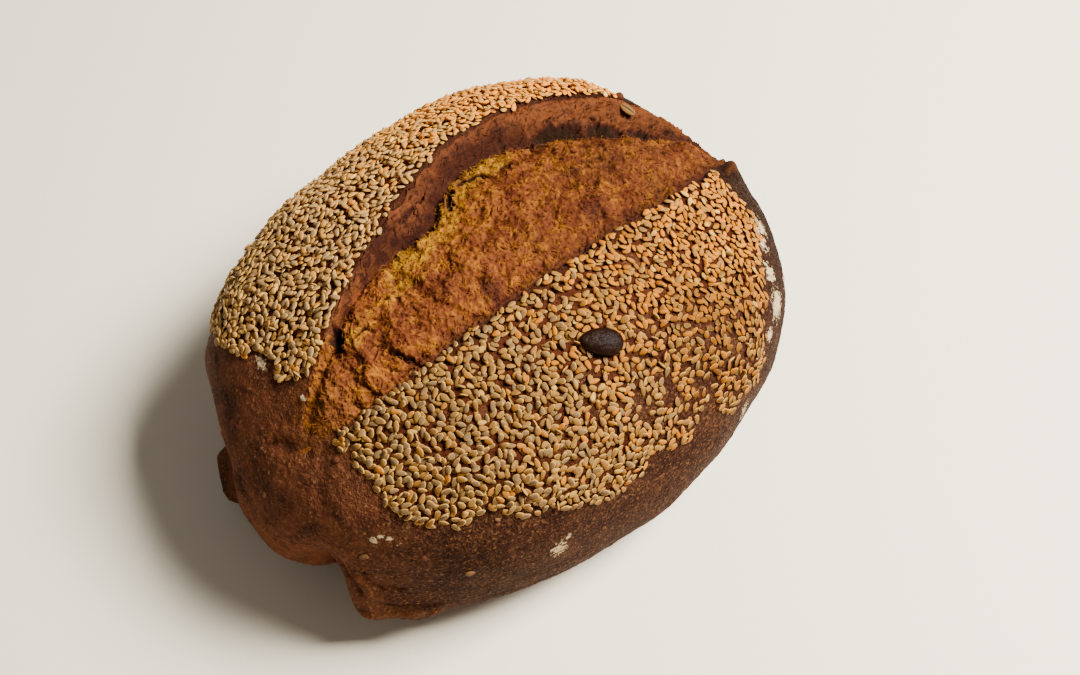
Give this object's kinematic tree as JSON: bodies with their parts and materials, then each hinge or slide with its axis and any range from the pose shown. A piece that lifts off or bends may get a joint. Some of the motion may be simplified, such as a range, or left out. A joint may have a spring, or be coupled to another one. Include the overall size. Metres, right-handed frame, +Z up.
{
  "type": "chickpea protein bread",
  "caption": "Oval hearth loaf with one long burst score, a dark crust covered in sesame on both sides of it, and a pumpkin seed on top.",
  "frame": {"origin": "centre of the loaf's box in X and Y, on the surface it rests on", "axes": "+X along the loaf towards its far end, away from the notched end; +Y towards the raised side of the score; +Z up"},
  "size_m": [0.1849, 0.145, 0.0878],
  "materials": {
    "crust": "matte baked crust",
    "crumb": "matte torn crumb",
    "sesame": "satin toasted seed",
    "pumpkin_seed": "satin roasted seed"
  },
  "bodies": {
    "root": {"loaf": "crust", "pumpkin_seed": "pumpkin_seed"}
  },
  "joints": []
}
